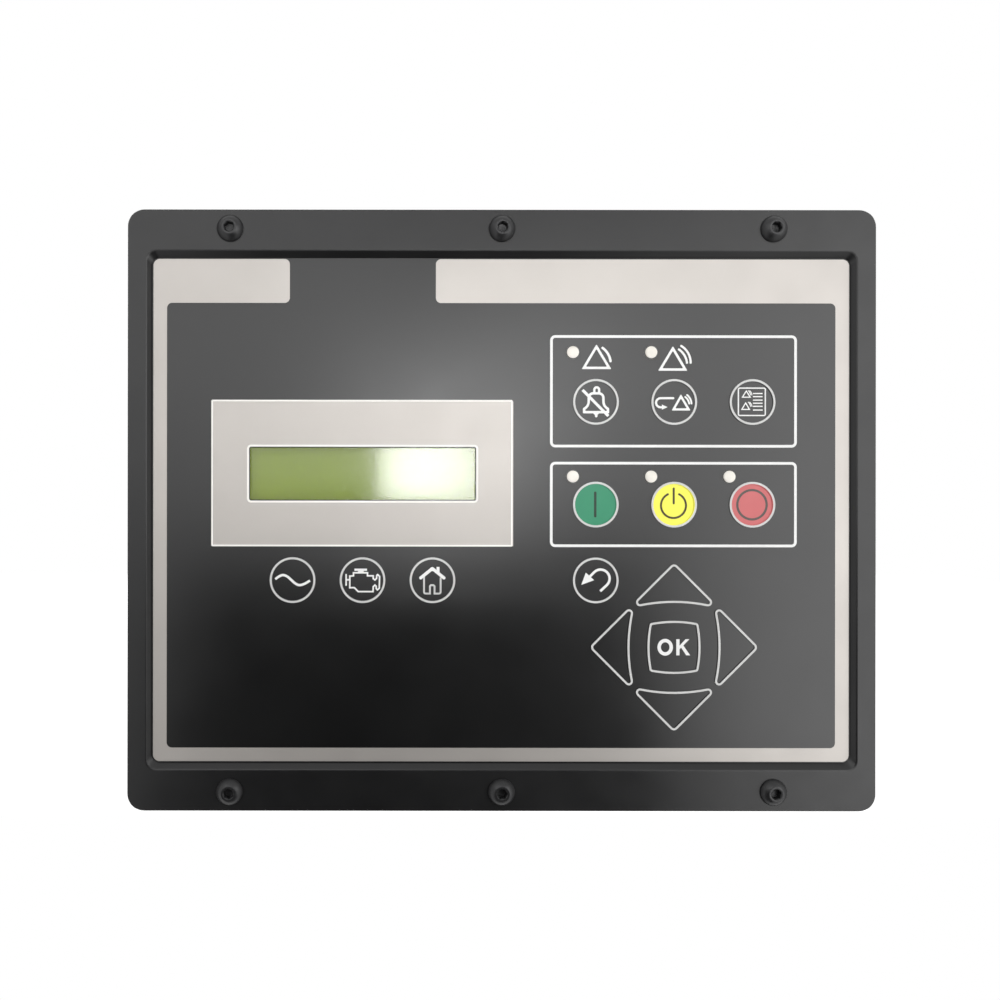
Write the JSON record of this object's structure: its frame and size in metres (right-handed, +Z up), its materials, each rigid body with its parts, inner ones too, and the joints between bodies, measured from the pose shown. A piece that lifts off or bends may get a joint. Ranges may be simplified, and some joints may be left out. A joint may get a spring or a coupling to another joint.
{
  "type": "control display panel",
  "caption": "Flush-mounted engine control panel: screwed front bezel, membrane keypad with pictogram keys and arrow pad, character display, status lamps, sealed rear housing with plug sockets.",
  "frame": {"origin": "middle of the flange's rear face, at the centre of the mounting screws", "axes": "+X to the right seen from the front, +Y back into the enclosure, +Z up"},
  "size_m": [0.214, 0.0452, 0.172],
  "materials": {
    "bezel_plastic": "fine-textured black moulding",
    "overlay_film": "satin black printed film",
    "silver_ink": "silver grey screen print under satin film",
    "green_ink": "green screen print",
    "yellow_ink": "yellow screen print",
    "red_ink": "red screen print",
    "clear_window": "clear display window",
    "display_green": "yellow-green liquid crystal display glass",
    "black_steel": "blackened pressed steel",
    "white_plastic": "natural white moulding",
    "lamp_white": "diffusing white moulding",
    "contact_rubber": "layered contact rubber",
    "circuit_board": "green solder resist",
    "zinc_steel": "zinc-plated steel",
    "black_parts": "black moulded connector plastic",
    "brass": "turned brass",
    "relay_blue": "blue relay case",
    "capacitor_sleeve": "shrink sleeve",
    "tinned_pins": "plated contact pins",
    "orange_rubber": "silicone socket seal",
    "black_rubber": "black sealing rubber",
    "black_screws": "black oxide steel",
    "nylon_white": "natural nylon"
  },
  "bodies": {
    "panel": {"front_bezel": "bezel_plastic", "keypad_overlay": "overlay_film", "silver_print": "silver_ink", "run_key_print": "green_ink", "auto_key_print": "yellow_ink", "stop_key_print": "red_ink", "display_window": "clear_window", "display_seal": "black_rubber", "display_frame": "black_steel", "display_glass": "display_green", "display_backlight": "white_plastic", "display_contact_strips": "contact_rubber", "display_board": "circuit_board", "display_screws": "zinc_steel", "keypad_board": "circuit_board", "key_switches": "black_parts", "indicator_lamps": "lamp_white", "board_spacers": "brass", "board_link": "black_parts", "display_link": "black_parts", "main_board": "circuit_board", "board_screws": "zinc_steel", "processor": "black_parts", "relays": "relay_blue", "capacitors": "capacitor_sleeve", "large_socket": "black_parts", "large_socket_pins": "tinned_pins", "small_socket": "black_parts", "small_socket_pins": "tinned_pins", "jack_inserts": "brass", "socket_seals": "orange_rubber", "housing_gasket": "black_rubber", "rear_housing": "bezel_plastic", "housing_screws": "zinc_steel", "breather_vent": "black_parts", "door_seal": "black_rubber", "mounting_screws": "black_screws", "retaining_washers": "nylon_white", "light_pipe_1": "lamp_white", "light_pipe_2": "lamp_white", "light_pipe_3": "lamp_white", "light_pipe_4": "lamp_white", "light_pipe_5": "lamp_white"},
    "silence_key": {"key_pusher_silence": "white_plastic"},
    "reset_key": {"key_pusher_reset": "white_plastic"},
    "log_key": {"key_pusher_log": "white_plastic"},
    "run_key": {"key_pusher_run": "white_plastic"},
    "auto_key": {"key_pusher_auto": "white_plastic"},
    "stop_key": {"key_pusher_stop": "white_plastic"},
    "back_key": {"key_pusher_back": "white_plastic"},
    "mains_key": {"key_pusher_mains": "white_plastic"},
    "engine_key": {"key_pusher_engine": "white_plastic"},
    "home_key": {"key_pusher_home": "white_plastic"},
    "ok_key": {"key_pusher_ok": "white_plastic"},
    "up_key": {"key_pusher_up": "white_plastic"},
    "left_key": {"key_pusher_left": "white_plastic"},
    "down_key": {"key_pusher_down": "white_plastic"},
    "right_key": {"key_pusher_right": "white_plastic"}
  },
  "joints": [
    {"name": "silence_key_press", "type": "slide", "parent": "panel", "child": "silence_key", "axis": [0, 1, 0], "range_m": [0, 0.0003], "stiffness_N_per_m": 4000},
    {"name": "reset_key_press", "type": "slide", "parent": "panel", "child": "reset_key", "axis": [0, 1, 0], "range_m": [0, 0.0003], "stiffness_N_per_m": 4000},
    {"name": "log_key_press", "type": "slide", "parent": "panel", "child": "log_key", "axis": [0, 1, 0], "range_m": [0, 0.0003], "stiffness_N_per_m": 4000},
    {"name": "run_key_press", "type": "slide", "parent": "panel", "child": "run_key", "axis": [0, 1, 0], "range_m": [0, 0.0003], "stiffness_N_per_m": 4000},
    {"name": "auto_key_press", "type": "slide", "parent": "panel", "child": "auto_key", "axis": [0, 1, 0], "range_m": [0, 0.0003], "stiffness_N_per_m": 4000},
    {"name": "stop_key_press", "type": "slide", "parent": "panel", "child": "stop_key", "axis": [0, 1, 0], "range_m": [0, 0.0003], "stiffness_N_per_m": 4000},
    {"name": "back_key_press", "type": "slide", "parent": "panel", "child": "back_key", "axis": [0, 1, 0], "range_m": [0, 0.0003], "stiffness_N_per_m": 4000},
    {"name": "mains_key_press", "type": "slide", "parent": "panel", "child": "mains_key", "axis": [0, 1, 0], "range_m": [0, 0.0003], "stiffness_N_per_m": 4000},
    {"name": "engine_key_press", "type": "slide", "parent": "panel", "child": "engine_key", "axis": [0, 1, 0], "range_m": [0, 0.0003], "stiffness_N_per_m": 4000},
    {"name": "home_key_press", "type": "slide", "parent": "panel", "child": "home_key", "axis": [0, 1, 0], "range_m": [0, 0.0003], "stiffness_N_per_m": 4000},
    {"name": "ok_key_press", "type": "slide", "parent": "panel", "child": "ok_key", "axis": [0, 1, 0], "range_m": [0, 0.0003], "stiffness_N_per_m": 4000},
    {"name": "up_key_press", "type": "slide", "parent": "panel", "child": "up_key", "axis": [0, 1, 0], "range_m": [0, 0.0003], "stiffness_N_per_m": 4000},
    {"name": "left_key_press", "type": "slide", "parent": "panel", "child": "left_key", "axis": [0, 1, 0], "range_m": [0, 0.0003], "stiffness_N_per_m": 4000},
    {"name": "down_key_press", "type": "slide", "parent": "panel", "child": "down_key", "axis": [0, 1, 0], "range_m": [0, 0.0003], "stiffness_N_per_m": 4000},
    {"name": "right_key_press", "type": "slide", "parent": "panel", "child": "right_key", "axis": [0, 1, 0], "range_m": [0, 0.0003], "stiffness_N_per_m": 4000}
  ]
}
